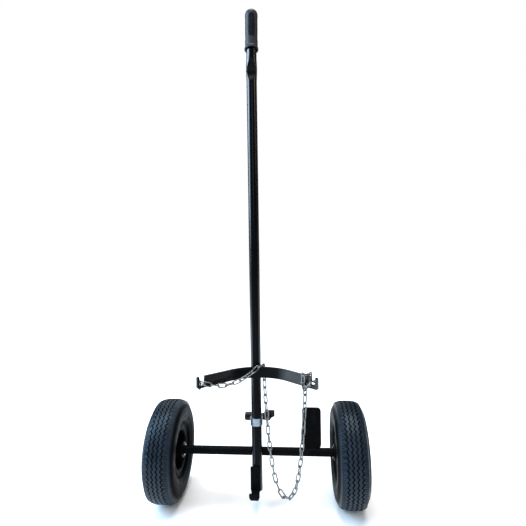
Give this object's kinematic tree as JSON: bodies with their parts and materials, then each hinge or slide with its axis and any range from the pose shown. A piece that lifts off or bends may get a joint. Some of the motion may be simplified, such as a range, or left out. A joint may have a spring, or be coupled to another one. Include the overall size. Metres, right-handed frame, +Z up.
{
  "type": "gas cylinder trolley",
  "caption": "Single-pole hand trolley for a gas cylinder: two pneumatic wheels, curved cradle, foot hook, retaining chain, sliding clamp and rubber hand grip.",
  "frame": {"origin": "on the floor midway between the wheels, directly below the axle's axis", "axes": "+Z up along the pole; +X along the axle to the right as seen from the cylinder side; -Y towards the cylinder side, so +Y is the side of the person pulling it"},
  "size_m": [0.5772, 0.2699, 1.3009],
  "materials": {
    "black_paint": "gloss",
    "grip_rubber": "matte",
    "zinc_plate": "satin",
    "chain_zinc": "satin",
    "black_plastic": "satin",
    "brass_bush": "satin",
    "tyre_rubber": "matte",
    "tube_rubber": "matte",
    "bearing_steel": "polished"
  },
  "bodies": {
    "frame": {"pole_tube": "black_paint", "hand_grip": "grip_rubber", "cradle_strip": "black_paint", "foot_hook": "black_paint", "axle_tube": "black_paint", "axle_shaft": "zinc_plate", "kick_plate": "black_paint", "axle_washers": "black_paint", "split_pins": "zinc_plate", "left_bearing_inner_rings": "bearing_steel", "right_bearing_inner_rings": "bearing_steel", "chain_front_run": "chain_zinc", "chain_edge_link": "chain_zinc", "chain_tail": "chain_zinc", "chain_end_loop": "chain_zinc"},
    "clamp": {"clamp_band": "zinc_plate", "clamp_bolt": "zinc_plate", "clamp_cap": "black_plastic"},
    "knob": {"thumb_knob": "black_plastic", "thumb_knob_bush": "brass_bush"},
    "left_wheel": {"left_tyre": "tyre_rubber", "left_inner_tube": "tube_rubber", "left_rim_outer_half": "black_paint", "left_rim_inner_half": "black_paint", "left_rim_bolts": "zinc_plate", "left_rim_nuts": "zinc_plate", "left_hub_tube": "black_paint", "left_bearing_outer_rings": "bearing_steel", "left_bearing_balls": "bearing_steel", "left_valve_stem": "tube_rubber", "left_valve_cap": "black_plastic"},
    "right_wheel": {"right_tyre": "tyre_rubber", "right_inner_tube": "tube_rubber", "right_rim_outer_half": "black_paint", "right_rim_inner_half": "black_paint", "right_rim_bolts": "zinc_plate", "right_rim_nuts": "zinc_plate", "right_hub_tube": "black_paint", "right_bearing_outer_rings": "bearing_steel", "right_bearing_balls": "bearing_steel", "right_valve_stem": "tube_rubber", "right_valve_cap": "black_plastic"},
    "chain_loop": {"chain_hanging_loop": "chain_zinc"}
  },
  "joints": [
    {"name": "left_wheel_spin", "type": "hinge", "parent": "frame", "child": "left_wheel", "pos_m": [-0.239, 0, 0.13], "axis": [1, 0, 0], "continuous": true},
    {"name": "right_wheel_spin", "type": "hinge", "parent": "frame", "child": "right_wheel", "pos_m": [0.239, 0, 0.13], "axis": [1, 0, 0], "continuous": true},
    {"name": "clamp_slide", "type": "slide", "parent": "frame", "child": "clamp", "axis": [0, 0, 1], "range_m": [-0.055, 0.1]},
    {"name": "thumb_knob_turn", "type": "hinge", "parent": "clamp", "child": "knob", "pos_m": [0.011, 0.004, 0.2215], "axis": [1, 0, 0], "range_deg": [-360, 0]},
    {"name": "chain_swing", "type": "hinge", "parent": "frame", "child": "chain_loop", "pos_m": [0.02049, -0.0309, 0.36965], "axis": [0.738, -0.6461, -0.1948], "range_deg": [-4, 5]}
  ]
}
